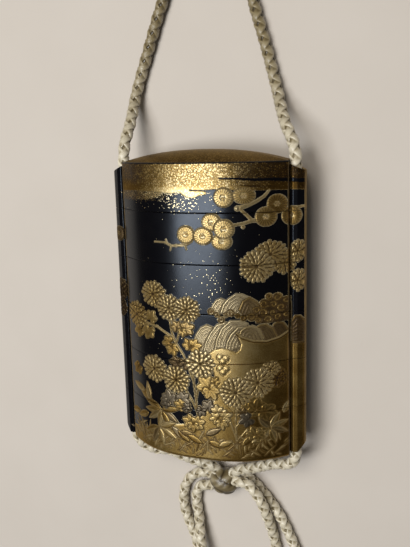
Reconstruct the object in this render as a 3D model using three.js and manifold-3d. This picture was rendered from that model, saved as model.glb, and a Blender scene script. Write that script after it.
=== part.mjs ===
import * as THREE from 'three';
import Module from 'manifold-3d';

// An inro: a small lacquered case of six tiers, lying on its back with its cord laid out.
// Object axes while building: x across, y up the case from the lowest seam plane, z to the front.
// The group is moved at the end, so that the case lies on Z = 0 with its middle at X = Y = 0.

const HALF_WIDTH = 25.2; // body, to the edge of its front face
const CREST = 13.0; // height of the front face over the middle plane
const FLANK = 3.6; // height of the front face at its edges
const FULLNESS = 2.66; // exponent of the face's curve
const BACK_FLAT = -12.8; // a small flat on the back, on which the case lies
const CHANNEL_X = 26.3;
const CHANNEL_RADIUS = 2.2;
const CORD_RADIUS = 1.85;
const RIM = 84.8; // upper edge of the lid's front
const BASE = -1.2; // where the lowest tier starts to round under
const DOME_TOP = 88.3;
const DOME_BOTTOM = -2.9;
const SEAMS = [71.2, 56.7, 42.5, 28.3, 13.7];
const SEAM_GAP = 0.3;
const RISER = 3.0; // how far each riser stands up into the tier above
const RECESS = 3.3;
const FLOOR = 1.2;
const LOW = SEAM_GAP / 2;
const MIDDLE = (DOME_TOP + DOME_BOTTOM) / 2;

const wasm = await Module();
wasm.setup();

// ---- closed solids ----------------------------------------------------------------------

function solid(points, triangles) {
  let volume = 0;
  const [a, b, c] = [new THREE.Vector3(), new THREE.Vector3(), new THREE.Vector3()];
  for (const [i, j, k] of triangles) {
    a.set(...points[i]);
    b.set(...points[j]);
    c.set(...points[k]);
    volume += a.dot(b.cross(c));
  }
  const turned = volume < 0 ? triangles.map(([i, j, k]) => [i, k, j]) : triangles;
  return new wasm.Manifold(new wasm.Mesh({
    numProp: 3,
    vertProperties: new Float32Array(points.flat()),
    triVerts: new Uint32Array(turned.flat()),
  }));
}

// Rings are [y, [[x, z], ...]] with equal counts, each star-shaped about (middleX, 0).
function loft(rings, middleX = 0) {
  const n = rings[0][1].length;
  const points = rings.flatMap(([y, ring]) => ring.map(([x, z]) => [x, y, z]));
  const triangles = [];
  for (let r = 0; r + 1 < rings.length; r++) {
    for (let i = 0; i < n; i++) {
      const j = (i + 1) % n;
      triangles.push([r * n + i, r * n + j, (r + 1) * n + j]);
      triangles.push([r * n + i, (r + 1) * n + j, (r + 1) * n + i]);
    }
  }
  const last = (rings.length - 1) * n;
  points.push([middleX, rings[0][0], 0], [middleX, rings[rings.length - 1][0], 0]);
  for (let i = 0; i < n; i++) {
    const j = (i + 1) % n;
    triangles.push([points.length - 2, j, i]);
    triangles.push([points.length - 1, last + i, last + j]);
  }
  return solid(points, triangles);
}

// A prism over a flat outline in x and y, from z = 0 forwards.
function prism(outline) {
  const flat = outline.map(([x, y]) => new THREE.Vector2(x, y));
  if (THREE.ShapeUtils.isClockWise(flat)) {
    flat.reverse();
  }
  const n = flat.length;
  const points = [...flat.map(({ x, y }) => [x, y, 0]), ...flat.map(({ x, y }) => [x, y, 20])];
  const triangles = [];
  for (const [i, j, k] of THREE.ShapeUtils.triangulateShape(flat, [])) {
    triangles.push([i, k, j], [n + i, n + j, n + k]);
  }
  for (let i = 0; i < n; i++) {
    const j = (i + 1) % n;
    triangles.push([i, j, n + j], [i, n + j, n + i]);
  }
  return solid(points, triangles);
}

// ---- sections ---------------------------------------------------------------------------

function faceHeight(x) {
  return CREST - (CREST - FLANK) * Math.abs(x / HALF_WIDTH) ** FULLNESS;
}

// The body's section, moved out by `out` (in, if negative).
function bodyRing(out = 0, steps = 16) {
  const sx = (HALF_WIDTH + out) / HALF_WIDTH;
  const sz = (CREST + out) / CREST;
  const ring = [];
  for (let i = 0; i <= steps; i++) {
    const t = 1 - (2 * i) / steps;
    const x = HALF_WIDTH * Math.sign(t) * (1 - (1 - Math.abs(t)) ** 1.25);
    ring.push([x * sx, faceHeight(x) * sz]);
  }
  ring.push([-24.9 * sx, 1.9 * sz], [-24.9 * sx, -1.9 * sz]);
  for (let i = 0; i <= steps - 4; i++) {
    const t = (2 * i) / (steps - 4) - 1;
    const x = HALF_WIDTH * t;
    ring.push([x * sx, Math.max(-faceHeight(x), BACK_FLAT) * sz]);
  }
  ring.push([24.9 * sx, -1.9 * sz], [24.9 * sx, 1.9 * sz]);
  return ring;
}

function shrunk(ring, share) {
  return ring.map(([x, z]) => [x * share, z * share]);
}

// The smooth section of the inner fittings.
function innerRing(a, b, steps = 22) {
  const ring = [];
  for (let i = 0; i < steps; i++) {
    const turn = (2 * Math.PI * (i + 0.5)) / steps;
    const [c, s] = [Math.cos(turn), Math.sin(turn)];
    ring.push([a * Math.sign(c) * Math.abs(c) ** 0.83, b * Math.sign(s) * Math.abs(s)]);
  }
  return ring;
}

function innerBlock(a, b, from, to) {
  return loft([[from, innerRing(a, b)], [to, innerRing(a, b)]]);
}

// One cord runner, a rounded ridge along the side; `side` is 1 or -1.
function ear(side, from, to, out = 0) {
  const half = [[24.0, 2.2], [25.5, 2.3], [26.1, 2.9], [27.4, 2.6], [28.6, 1.75], [29.3, 0.7]];
  const upper = half.map(([x, z], i) => [side * (x + (i > 1 && i < 5 ? out : 0)), z + out]);
  const lower = half.map(([x, z], i) => [side * (x + (i > 1 && i < 5 ? out : 0)), -z - out]).reverse();
  const ring = [...upper, ...lower];
  const endAt = (y, slope) => (x) => y + slope(Math.abs(x));
  const low = endAt(from, from < 0 ? (x) => Math.max(0, x - 27.4) * 1.3 : () => 0);
  const high = endAt(to, to > 80 ? (x) => -Math.max(0, x - 25.5) * 0.45 : () => 0);
  const n = ring.length;
  const middle = side * 26.5;
  const points = [
    ...ring.map(([x, z]) => [x, low(x), z]),
    ...ring.map(([x, z]) => [x, high(x), z]),
    [middle, low(middle), 0],
    [middle, high(middle), 0],
  ];
  const triangles = [];
  for (let i = 0; i < n; i++) {
    const j = (i + 1) % n;
    triangles.push([i, j, n + j], [i, n + j, n + i], [2 * n, j, i], [2 * n + 1, n + i, n + j]);
  }
  return solid(points, triangles);
}

function channel(side) {
  const ring = [];
  for (let i = 0; i < 12; i++) {
    const turn = (2 * Math.PI * i) / 12;
    ring.push([
      side * CHANNEL_X + CHANNEL_RADIUS * Math.cos(turn),
      CHANNEL_RADIUS * Math.sin(turn),
    ]);
  }
  return loft([[-10, ring], [100, ring]], side * CHANNEL_X);
}

// ---- the raised figures, as flat outlines -------------------------------------------------

function disc(x, y, rx, ry, n = 10) {
  const outline = [];
  for (let i = 0; i < n; i++) {
    const turn = (2 * Math.PI * i) / n;
    outline.push([x + rx * Math.cos(turn), y + ry * Math.sin(turn)]);
  }
  return outline;
}

// A flower head with a scalloped edge.
function flower(x, y, rx, ry, petals = 9) {
  const outline = [];
  for (let i = 0; i < 2 * petals; i++) {
    const turn = (Math.PI * i) / petals;
    const r = i % 2 ? 0.86 : 1;
    outline.push([x + rx * r * Math.cos(turn), y + ry * r * Math.sin(turn)]);
  }
  return outline;
}

// A pointed leaf from its base, along `turn` (degrees).
function leaf(x, y, length, width, turn) {
  const [c, s] = [Math.cos((turn * Math.PI) / 180), Math.sin((turn * Math.PI) / 180)];
  const half = [[0.2, 0.34], [0.5, 0.5], [0.8, 0.26]];
  const side = [[-0.08, 0], ...half, [1, 0], ...half.map(([u, v]) => [u, -v]).reverse()];
  return side.map(([u, v]) => [x + length * u * c - width * v * s, y + length * u * s + width * v * c]);
}

// A lobed leaf about its middle.
function lobed(x, y, size, turn) {
  const lobes = [1.25, 0.6, 1.0, 0.55, 0.85, 0.5, 0.85, 0.55, 1.0, 0.6];
  return lobes.map((r, i) => {
    const angle = (turn * Math.PI) / 180 + (2 * Math.PI * i) / lobes.length;
    return [x + size * r * Math.cos(angle), y + size * r * Math.sin(angle)];
  });
}

// A branch of even width along a few points.
function branch(width, ...line) {
  const [left, right] = [[], []];
  line.forEach(([x, y], i) => {
    const before = line[Math.max(i - 1, 0)];
    const after = line[Math.min(i + 1, line.length - 1)];
    const [dx, dy] = [after[0] - before[0], after[1] - before[1]];
    const long = Math.hypot(dx, dy);
    const half = (width / 2) * (1 - (0.4 * i) / line.length);
    left.push([x - (dy / long) * half, y + (dx / long) * half]);
    right.unshift([x + (dy / long) * half, y - (dx / long) * half]);
  });
  return [...left, ...right];
}

const FIGURES = [
  { out: 0.25, shapes: [
    [[-24.8, 84], [-24.8, 76.9], [-18.4, 77.1], [-8.8, 76.7], [-3.5, 77], [-0.8, 75.5], [2.3, 76.1],
      [4.2, 77], [12.3, 77.4], [24.8, 77.2], [24.8, 84]],
    [[-24.6, 2.6], [-20.7, 3.8], [-15.9, 4.6], [-11, 6.4], [-3, 8.8], [1, 11.6], [4.6, 15.2],
      [6.4, 20], [9.2, 24], [24.6, 24], [24.6, 0], [-24.6, 0]],
  ] },
  { out: 0.35, shapes: [
    [[3.1, 30.2], [5.6, 32.5], [7.9, 33.1], [10.1, 32.5], [11.8, 31.9], [13.1, 34.2], [13.3, 36.2],
      [16.4, 35], [19.7, 34.6], [22.9, 35.4], [24.6, 36.6], [24.6, 14.2], [12, 12.4], [7.6, 17],
      [6.1, 21.6]],
  ] },
  { out: 0.5, shapes: [
    [[4.4, 42.9], [5.6, 46.2], [7.8, 47.5], [9.8, 47.4], [11.8, 48.8], [13.8, 48.6], [16, 47.4],
      [20, 47.4], [24.6, 46.6], [24.6, 40.8], [19.7, 40], [15.8, 42], [12.6, 42.8], [9.6, 42.4]],
    [[-0.6, 34.4], [1.5, 38.5], [4.4, 39.4], [8.8, 41], [13.2, 41], [17.4, 39.6], [23.9, 39.3],
      [24.6, 36.8], [22.9, 35.5], [19.7, 34.7], [16.4, 35.1], [13.3, 36.4], [12.2, 32.4],
      [8, 33.3], [3, 30.6]],
  ] },
  { out: 0.4, shapes: [
    lobed(-5.6, 38.6, 2, 100), lobed(-2.1, 38.2, 2, 20), lobed(-16, 35.4, 2.2, 250),
    lobed(-14.3, 40.6, 2.1, 60), lobed(-8.9, 33.3, 2.1, 190), lobed(-7.2, 31.2, 2, 290),
    lobed(-2.3, 33.7, 1.9, 120), lobed(0.2, 33.2, 1.9, 10), lobed(2.8, 21.6, 2.9, 130),
    lobed(4.4, 19.4, 2.5, 310), lobed(-9.2, 16.6, 2.2, 100), lobed(-4.8, 15.6, 2.3, 40),
    lobed(3.6, 15, 2.2, 70), lobed(7.4, 12, 2.8, 20), lobed(-1.4, 9.6, 2.8, 160),
    lobed(17.2, 15.4, 2.3, 80), lobed(19.9, 13.4, 2.3, 340), lobed(16.6, 7, 2.3, 110),
    leaf(-12.2, 11.8, 6.6, 1.7, 172), leaf(-11.9, 12.4, 6.2, 1.7, 258), leaf(-11.8, 12, 6.6, 1.7, 330),
    leaf(-16.4, 13.6, 6.2, 1.6, 100), leaf(-18.6, 4.4, 11.6, 1.7, 16),
    leaf(16.2, 6.4, 8.6, 1.7, 22),
  ] },
  { out: 0.45, shapes: [
    branch(0.8, [-12, 62.8], [-8.5, 62.8], [-6.5, 61.9], [-2.2, 62.3], [-0.4, 63.4]),
    branch(1.2, [12.4, 72.4], [15.2, 73.2], [17.5, 74.3], [19.4, 75.6], [20.6, 77.2]),
    branch(0.7, [13.4, 72.2], [14.9, 70.8], [16.2, 69.3]),
    branch(0.9, [11.4, 67.9], [14.4, 68.4], [18, 69.2]),
    branch(0.8, [-12.7, 37.9], [-7.2, 35.1], [-4, 30.3], [-1, 22.3], [-0.2, 13]),
    branch(0.8, [11.7, 16.3], [11.2, 10.7], [11.5, 2.6]),
  ] },
  { out: 0.55, shapes: [
    disc(9.1, 75.5, 2.7, 2.7), disc(14.4, 75.9, 2.9, 2.2), disc(22.5, 73.5, 2.4, 2.5),
    disc(19.8, 70, 2.6, 2.7), disc(5.6, 68.8, 2.7, 2.5), disc(9.1, 66.9, 2.8, 2.7),
    disc(-1.9, 65.2, 2.6, 2.5), disc(3.1, 64.9, 2.8, 2.4), disc(8.4, 63.4, 2.8, 2.2),
    disc(26, 69.9, 2.5, 2.6),
  ] },
  { out: 0.6, shapes: [
    flower(17.4, 56.3, 4.6, 4.7, 10), flower(20.9, 59.9, 4.2, 4.3, 10),
    flower(27.5, 60, 2.3, 3.2, 7), flower(27.5, 51.6, 2.3, 3.3, 7),
    flower(-13.4, 47.4, 4.5, 3.9), flower(-8, 43.9, 4.4, 4), flower(-2.4, 43.7, 4, 3.9),
    flower(-20.6, 40, 4.3, 4), flower(-14.1, 24.6, 4.6, 4.2), flower(-6.5, 22.4, 4.4, 4.3),
    flower(1.3, 27.9, 4.4, 4.3), flower(11.4, 19.8, 4.5, 4.6, 10),
    flower(17.4, 22.5, 4.2, 4.5, 10), flower(22.2, 23.4, 2.4, 2.8, 7),
    flower(20.8, 26.6, 2.2, 2.2, 7),
  ] },
];

// All figures of one height, lying on the body and the runners from y = low to y = high.
function relief(figures, low, high) {
  const prisms = figures.shapes.map(prism);
  const ring = bodyRing(figures.out);
  const shell = loft([[low, ring], [high, ring]])
    .add(ear(1, Math.max(low, 0.5), Math.min(high, 79.5), figures.out));
  return wasm.Manifold.union(prisms).intersect(shell);
}

// ---- tiers ------------------------------------------------------------------------------

const [RECESS_A, RECESS_B] = [23.5, 11.9];
const [RISER_A, RISER_B] = [23.2, 11.6];
const [CAVITY_A, CAVITY_B] = [22.4, 10.8];

function tier(number) {
  const isLid = number === 0;
  const isBase = number === SEAMS.length;
  const low = isBase ? BASE : SEAMS[number] + LOW;
  const high = isLid ? RIM : SEAMS[number - 1] - LOW;
  const rings = [[low + 0.25, bodyRing()], [high - 0.25, bodyRing()]];
  if (isBase) {
    rings.unshift([-1.75, bodyRing(-0.3)]);
    rings.unshift([-2.1, bodyRing(-1)]);
    rings.unshift([-2.6, shrunk(bodyRing(), 0.7)]);
    rings.unshift([DOME_BOTTOM, shrunk(bodyRing(), 0.35)]);
  } else {
    rings.unshift([low, bodyRing(-0.2)]);
  }
  if (isLid) {
    for (const share of [0.97, 0.86, 0.7, 0.5, 0.25]) {
      rings.push([RIM + (DOME_TOP - RIM) * (1 - share ** 2.3), shrunk(bodyRing(), share)]);
    }
  } else {
    rings.push([high, bodyRing(-0.2)]);
  }
  let made = loft(rings);
  const [earLow, earHigh] = [isBase ? -0.9 : low, isLid ? 83.9 : high];
  made = made.add(ear(1, earLow, earHigh)).add(ear(-1, earLow, earHigh));
  for (const figures of FIGURES) {
    made = made.add(relief(figures, Math.max(low, 0) + 0.05, Math.min(high, 84) - 0.05));
  }
  if (!isLid) {
    made = made.add(innerBlock(RISER_A, RISER_B, high - 1, high + RISER));
  }
  if (!isBase) {
    made = made.subtract(innerBlock(RECESS_A, RECESS_B, low - 1, low + RECESS));
  }
  const floor = isBase ? 0.4 : low + RECESS + FLOOR;
  made = made.subtract(isLid
    ? innerBlock(CAVITY_A, CAVITY_B, low, RIM - 1.2)
    : innerBlock(CAVITY_A, CAVITY_B, floor, high + RISER + 1));
  return made.subtract(channel(1)).subtract(channel(-1)).simplify(0.03);
}

// ---- cord -------------------------------------------------------------------------------

// The cord through both runners, from the knot round the top loop and back, half by half.
const RIGHT_RUN = [
  [5.8, -14.8, -7.4], [9, -13.5, -6.8], [12.6, -12, -5.8], [16, -10.2, -4.6], [19.4, -8.6, -3.2],
  [22.8, -7.7, -2], [25.4, -5.7, -0.8], [26.3, -2.4, 0], [26.3, 4, 0], [26.3, 78, 0],
  [26.3, 86.2, 0], [25.1, 90.4, -1.2], [22.6, 94.8, -4], [20.6, 99.2, -7.2], [18.9, 104, -9.9],
  [17.4, 109, -10.9], [15.2, 117.3, -10.9], [12.6, 126, -10.9],
];
const LEFT_RUN = [
  [-4.2, -14.6, -8], [-8.4, -13.2, -7], [-12.4, -11.5, -5.8], [-17, -9.2, -4.4], [-21.2, -8.6, -3],
  [-24.8, -6.3, -1.2], [-26.3, -2.8, -0.1], [-26.3, 3, 0], [-26.3, 78, 0], [-26.3, 86.2, 0],
  [-26.2, 90.6, -1.2], [-26, 94.8, -4], [-26.2, 99.2, -7.2], [-26.2, 104, -9.9],
  [-24.8, 109.6, -10.9], [-22.4, 116, -10.9], [-16.6, 131, -10.9],
];
const TOP_LOOP = [
  [-12.8, 138.6, -10.9], [-6.6, 143.6, -10.9], [0.6, 144, -10.9], [7.2, 139.8, -10.9],
  [10.6, 133, -10.9],
];
const LEFT_LOOP = [
  [-5.2, -19.2, -10.9], [-9.1, -19.4, -10.9], [-12.4, -21.4, -10.9], [-14.4, -24.6, -10.9],
  [-15.3, -28.4, -10.9], [-15.2, -32.4, -10.9], [-14.2, -36.4, -10.9], [-12.8, -40.2, -10.9],
  [-11.2, -44.6, -10.9], [-10.8, -49, -10.9], [-12.8, -54.4, -10.9], [-15.2, -60, -10.9],
  [-15, -66.2, -10.9], [-10.8, -70.6, -10.9], [-5, -70.4, -10.9], [-1, -66, -10.9],
  [-1, -60.2, -10.9], [-3.6, -54.8, -10], [-6.4, -49.8, -8.4], [-7.9, -45.6, -7.7],
  [-8.7, -41.6, -8.5], [-9.3, -38, -9.6], [-9.9, -34.6, -10.5], [-10.5, -31.2, -10.9],
  [-10.6, -28.2, -10.9], [-9.9, -25.6, -10.9], [-8.2, -23.8, -10.6], [-5.6, -23.2, -9.9],
];
const RIGHT_LOOP = [
  [6, -18.9, -7.2], [8.4, -19.1, -7.1], [10.7, -20.9, -6.9], [12.5, -23.4, -6.9],
  [13.9, -26.2, -7.1], [14.8, -29.3, -7.7], [15.5, -32.8, -8.9], [16.1, -36.4, -10.1],
  [16.7, -39.8, -10.9], [17.4, -43.6, -10.9], [17.4, -48.4, -10.9], [15.4, -54.2, -10.9],
  [13.4, -60.2, -10.9], [14.8, -66.2, -10.9], [19.6, -69.6, -10.9], [25.2, -68, -10.9],
  [27.6, -62, -10.9], [27.4, -55, -10.9], [26.2, -48.6, -10.9], [24.2, -43.2, -10.9],
  [21.9, -37.8, -10.9], [19.1, -31.9, -10.9], [15.7, -26.8, -10.9], [12.6, -23.1, -10.9],
  [9.2, -19.7, -10.9], [5.6, -17.6, -10.9],
];

function tube(line, steps) {
  const path = new THREE.CatmullRomCurve3(line.map((p) => new THREE.Vector3(...p)), false, 'centripetal');
  const ring = new THREE.Shape();
  for (let i = 0; i < 8; i++) {
    const turn = (2 * Math.PI * (i + 0.5)) / 8;
    const [x, y] = [CORD_RADIUS * Math.cos(turn), CORD_RADIUS * Math.sin(turn)];
    if (i) {
      ring.lineTo(x, y);
    } else {
      ring.moveTo(x, y);
    }
  }
  return new THREE.ExtrudeGeometry(ring, { steps, bevelEnabled: false, extrudePath: path });
}

function knot() {
  const ball = new THREE.SphereGeometry(1, 12, 8);
  ball.scale(4.7, 4.6, 3.4);
  return ball.translate(0.1, -20.3, -9.3);
}

// ---- the group --------------------------------------------------------------------------

const inro = new THREE.Group();
inro.name = 'inro';

function place(name, geometry, material) {
  const node = new THREE.Mesh(geometry.translate(0, -MIDDLE, -BACK_FLAT), material);
  node.name = name;
  inro.add(node);
}

function lacquer() {
  return new THREE.MeshStandardMaterial({ color: 0x17120e, roughness: 0.18, metalness: 0.0 });
}

function silk() {
  return new THREE.MeshStandardMaterial({ color: 0xb3a383, roughness: 0.7, metalness: 0.0 });
}

for (let number = 0; number <= SEAMS.length; number++) {
  const { vertProperties, triVerts } = tier(number).getMesh();
  const geometry = new THREE.BufferGeometry();
  geometry.setAttribute('position', new THREE.BufferAttribute(new Float32Array(vertProperties), 3));
  geometry.setIndex([...triVerts]);
  geometry.computeVertexNormals();
  place(number ? `case_${number}` : 'lid', geometry, lacquer());
}

place('cord', tube([...RIGHT_RUN, ...TOP_LOOP.toReversed(), ...LEFT_RUN.toReversed()], 50), silk());
place('bow_loop_left', tube(LEFT_LOOP, 15), silk());
place('bow_loop_right', tube(RIGHT_LOOP, 15), silk());
place('knot', knot(), silk());

export default inro;
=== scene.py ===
import math

import bpy
import numpy as np
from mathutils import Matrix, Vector


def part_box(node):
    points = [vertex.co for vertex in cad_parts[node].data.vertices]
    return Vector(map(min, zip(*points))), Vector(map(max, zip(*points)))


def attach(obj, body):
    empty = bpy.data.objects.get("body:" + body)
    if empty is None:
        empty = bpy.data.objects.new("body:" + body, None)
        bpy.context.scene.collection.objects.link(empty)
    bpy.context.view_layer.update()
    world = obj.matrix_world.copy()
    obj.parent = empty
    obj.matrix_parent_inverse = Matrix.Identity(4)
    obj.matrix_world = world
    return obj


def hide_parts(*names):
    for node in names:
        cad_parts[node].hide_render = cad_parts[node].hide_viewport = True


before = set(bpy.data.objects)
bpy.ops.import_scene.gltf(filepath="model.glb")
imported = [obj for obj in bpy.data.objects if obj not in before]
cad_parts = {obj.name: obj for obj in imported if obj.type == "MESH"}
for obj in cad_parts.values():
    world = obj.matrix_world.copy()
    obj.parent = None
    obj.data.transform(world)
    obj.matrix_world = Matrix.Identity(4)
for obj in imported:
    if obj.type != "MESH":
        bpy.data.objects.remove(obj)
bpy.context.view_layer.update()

# ---- dimensions, as in the CAD source ----

# Object axes, in mm: x across, y up the case from a little above its base, z to the front from
# about the middle of its depth.
HALF_WIDTH, CREST, FLANK, FULLNESS = 25.2, 13.0, 3.6, 2.66
BACK_FLAT = -12.8
CHANNEL_X, CHANNEL_RADIUS = 26.3, 2.2
RIM, BASE, DOME_TOP, DOME_BOTTOM = 84.8, -1.2, 88.3, -2.9
SEAMS = [71.2, 56.7, 42.5, 28.3, 13.7]
RISER, RECESS, FLOOR = 3.0, 3.3, 1.2
RISER_OVAL, RECESS_OVAL, CAVITY_OVAL = (23.2, 11.6), (23.5, 11.9), (22.4, 10.8)
EAR_EDGE = 29.3  # where the runners end at each side
BODY_EDGE = HALF_WIDTH - 0.05
EAR_FOOT, EAR_TOP = -0.9, 83.9  # a little short of the base and the rim
CAVITY_FOOT, CAVITY_TOP = 0.4, RIM - 1.2  # in the tier with the base, and in the lid

HALF_GAP = 0.06  # half a seam, narrower than in the CAD source, as real ones are
STEP = 0.15  # between the points of a mesh

ORIGIN_Y, ORIGIN_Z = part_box("case_5")[0][1] * 1000 - DOME_BOTTOM, -BACK_FLAT


def row(points):
    """Turns object axes, in mm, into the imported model's frame, in metres."""
    return (np.asarray(points, float) + [0, ORIGIN_Y, ORIGIN_Z]) / 1000


def unit(t):
    """Values held between 0 and 1."""
    return np.clip(t, 0, 1)


def hill(t):
    """A smooth rise to 1 where t is 0."""
    return np.exp(-(t**2))


def direction(degrees):
    return math.cos(math.radians(degrees)), math.sin(math.radians(degrees))


def face_height(x):
    """The front face's height over the middle plane."""
    return CREST - (CREST - FLANK) * np.abs(np.asarray(x, float) / HALF_WIDTH) ** FULLNESS


# ---- raised and painted ornament ----


def turned(x, y, degrees):
    """Coordinates along and across a direction."""
    c, s = direction(degrees)
    return x * c + y * s, y * c - x * s


def to_line(x, y, points):
    """Distance to a line through a few points, and the share of the line passed there."""
    best, share = np.full(len(x), 99.0), np.zeros(len(x))
    for i, (a, b) in enumerate(zip(points, points[1:])):
        d = b - a
        t = unit(((x - a[0]) * d[0] + (y - a[1]) * d[1]) / (d @ d))
        away = np.hypot(x - a[0] - t * d[0], y - a[1] - t * d[1])
        share = np.where(away < best, (i + t) / (len(points) - 1), share)
        best = np.minimum(best, away)
    return best, share


def within(x, y, outline):
    """Which points lie inside a closed outline."""
    inside = np.zeros(len(x), bool)
    for a, b in zip(outline, np.roll(outline, -1, 0)):
        if a[1] != b[1]:
            crosses = (a[1] > y) != (b[1] > y)
            inside ^= crosses & (x < a[0] + (y - a[1]) / (b[1] - a[1]) * (b[0] - a[0]))
    return inside


class Ornament:
    """The relief's height over the lacquer and its paint, at points x, y of the case."""

    LAYERS = ("height", "gold", "tone", "dust", "line", "grey")

    def __init__(self, x, y):
        self.x, self.y = np.asarray(x, float), np.asarray(y, float)
        for name in self.LAYERS:
            setattr(self, name, np.zeros(len(self.x)))
        self.tone += 0.5

    def near(self, x, y, reach_x, reach_y=None):
        reach_y = reach_x if reach_y is None else reach_y
        at = np.flatnonzero((np.abs(self.x - x) < reach_x) & (np.abs(self.y - y) < reach_y))
        return at, self.x[at] - x, self.y[at] - y

    def around(self, points, reach=1.0):
        low, high = points.min(0) - reach, points.max(0) + reach
        inside = (self.x > low[0]) & (self.x < high[0]) & (self.y > low[1]) & (self.y < high[1])
        at = np.flatnonzero(inside)
        return at, self.x[at], self.y[at]

    def lay(self, at, inside, height, tone, gold=1.0, soft=0.12, round_edge=0.3, mark=0.0, edge=0.6, grey=0.0,
            ink=0.12):
        """Lays a form over what is there; inside is the distance in from its edge, in mm."""
        cover = unit(inside / soft + 0.5)
        shape = height * np.sqrt(unit(inside / round_edge))
        rim = edge * hill(inside / ink)
        values = (shape, gold, tone, 0, np.maximum(mark, rim), grey)
        for name, value in zip(self.LAYERS, values):
            layer = getattr(self, name)
            layer[at] = layer[at] * (1 - cover) + value * cover
        # Painted shadow: a dark line just outside each form's edge, stored with the engraved lines.
        shadow = np.where(inside <= 0, edge * 0.9 * hill(inside / 0.16), 0)
        self.line[at] = np.maximum(self.line[at], shadow)

    def petals(self, x, y, rx, ry, count, low, high, width, height, tone, twist=0.0):
        """One round of petals, from low to high as shares of the flower's size."""
        at, dx, dy = self.near(x, y, rx + 0.3, ry + 0.3)
        r = np.hypot(dx / rx, dy / ry)
        turn = np.arctan2(dy / ry, dx / rx) + twist
        step = 2 * math.pi / count
        number = np.round(turn / step)
        off = turn - number * step
        reach = high * (1 + 0.05 * np.sin(number * 2.4 + x))
        along = (r - (low + reach) / 2) / ((reach - low) / 2)
        half = width * step * (low + reach) / 2 * (1 + 0.36 * along)
        across = off * r / half
        inside = (1 - np.abs(along) ** 2.8 - across**2) * half * (rx + ry) * 0.34
        self.lay(at, inside, height, tone + 0.1 * along, round_edge=0.3, edge=1.0, ink=0.2)

    def flower(self, x, y, rx, ry, count=20, tone=0.62):
        """A chrysanthemum head: three rounds of petals over a dark ground."""
        at, dx, dy = self.near(x, y, rx, ry)
        inside = (0.84 - np.hypot(dx / rx, dy / ry)) * min(rx, ry)
        self.lay(at, inside, 0.15, 0.05, mark=0.95)
        self.petals(x, y, rx, ry, count - 1, 0.5, 1.0, 0.44, 0.46, tone + 0.04)
        self.petals(x, y, rx, ry, count - 7, 0.27, 0.76, 0.44, 0.56, tone + 0.04, 0.4)
        self.petals(x, y, rx, ry, max(count - 12, 5), 0.06, 0.5, 0.45, 0.64, tone + 0.02, 0.9)

    def pine(self, x, y, rx, ry, tone=0.7):
        """A disc of pine needles with seven dots in its middle."""
        at, dx, dy = self.near(x, y, rx + 0.3, ry + 0.3)
        r, turn = np.hypot(dx / rx, dy / ry), np.arctan2(dy, dx)
        inside = (1 - r) * min(rx, ry)
        needles = 0.8 * (np.cos(20 * turn) > 0.25) * (r > 0.45) * (r < 0.95)
        warm = 0.12 * hill((r - 0.6) / 0.25)
        self.lay(at, inside, 0.44 + 0.12 * np.cos(r * 1.5), tone - 0.02 - warm, mark=needles, edge=0.9)
        for k in range(7):
            a, away = 2 * math.pi * k / 6, 0.0 if k == 6 else 0.62
            self.dot(x + away * math.cos(a), y + away * math.sin(a), 0.27, 0.64, tone + 0.3, 0)

    def dot(self, x, y, radius, height, tone, edge=0.5):
        at, dx, dy = self.near(x, y, radius + 0.3)
        self.lay(at, radius - np.hypot(dx, dy), height, tone, round_edge=radius, edge=edge)

    def lobed(self, x, y, size, degrees, tone=0.55, grey=0.0):
        """A leaf of five lobes that spread from its stalk."""
        c, s = direction(degrees)
        at, dx, dy = self.near(x, y, size * 1.6 + 0.3)
        dx, dy = dx + 0.5 * size * c, dy + 0.5 * size * s
        inside, veins = np.full(len(at), -9.0), np.zeros(len(at))
        shade = np.zeros(len(at))
        for turn, long in ((-100, 0.95), (-50, 1.3), (0, 1.5), (50, 1.3), (100, 0.95)):
            u, v = turned(dx, dy, degrees + turn)
            t = unit(u / (long * size))
            half = 0.46 * size * np.sin(math.pi * t**1.25) ** 0.6
            beyond = np.maximum(-u, u - long * size)
            part = np.where(beyond < 0, half - np.abs(v), -np.hypot(np.maximum(beyond, 0), v) - 0.15)
            veins = np.where(part > inside, 0.75 * hill(v / 0.1) * (t < 0.75), veins)
            shade = np.where(part > inside, t, shade)
            inside = np.maximum(inside, part)
        tone = tone - 0.22 + 0.2 * shade
        self.lay(at, inside, 0.42, tone, round_edge=0.4, mark=veins, edge=0.95, grey=grey)

    def blade(self, x, y, length, width, degrees, tone=0.5, height=0.36, grey=0.0):
        c, s = direction(degrees)
        at, dx, dy = self.near(x + c * length / 2, y + s * length / 2, length * 0.6 + 0.3)
        u, v = turned(dx, dy, degrees)
        t = np.clip(u / (length / 2), -1, 1)
        half = width / 2 * (1 - np.abs(t) ** 2.2) * (1 - 0.25 * t)
        inside = np.where(np.abs(u) <= length / 2, half - np.abs(v), -1)
        rib = 0.7 * hill(v / 0.08) * (np.abs(t) < 0.85)
        self.lay(at, inside, height, tone + 0.08 * np.sign(v), mark=rib, edge=0.95, grey=grey)

    def stroke(self, points, wide, thin=None, height=0.34, tone=0.6, edge=0.7, gold=1.0):
        thin = wide * 0.55 if thin is None else thin
        points = np.array(points, float)
        at, x, y = self.around(points)
        away, share = to_line(x, y, points)
        inside = (wide + (thin - wide) * share) / 2 - away
        self.lay(at, inside, height, tone, gold, round_edge=wide / 2, edge=edge)

    def enclosed(self, outline):
        """The points about an outline, and how far inside it each one is."""
        at, x, y = self.around(outline)
        away, _ = to_line(x, y, np.concatenate([outline, outline[:1]]))
        return at, x, y, np.where(within(x, y, outline), away, -away)

    def area(self, outline, height, tone, gold=1.0, soft=0.12, edge=0.55):
        at, _, _, inside = self.enclosed(np.array(outline, float))
        self.lay(at, inside, height, tone, gold, soft, edge=edge)

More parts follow.
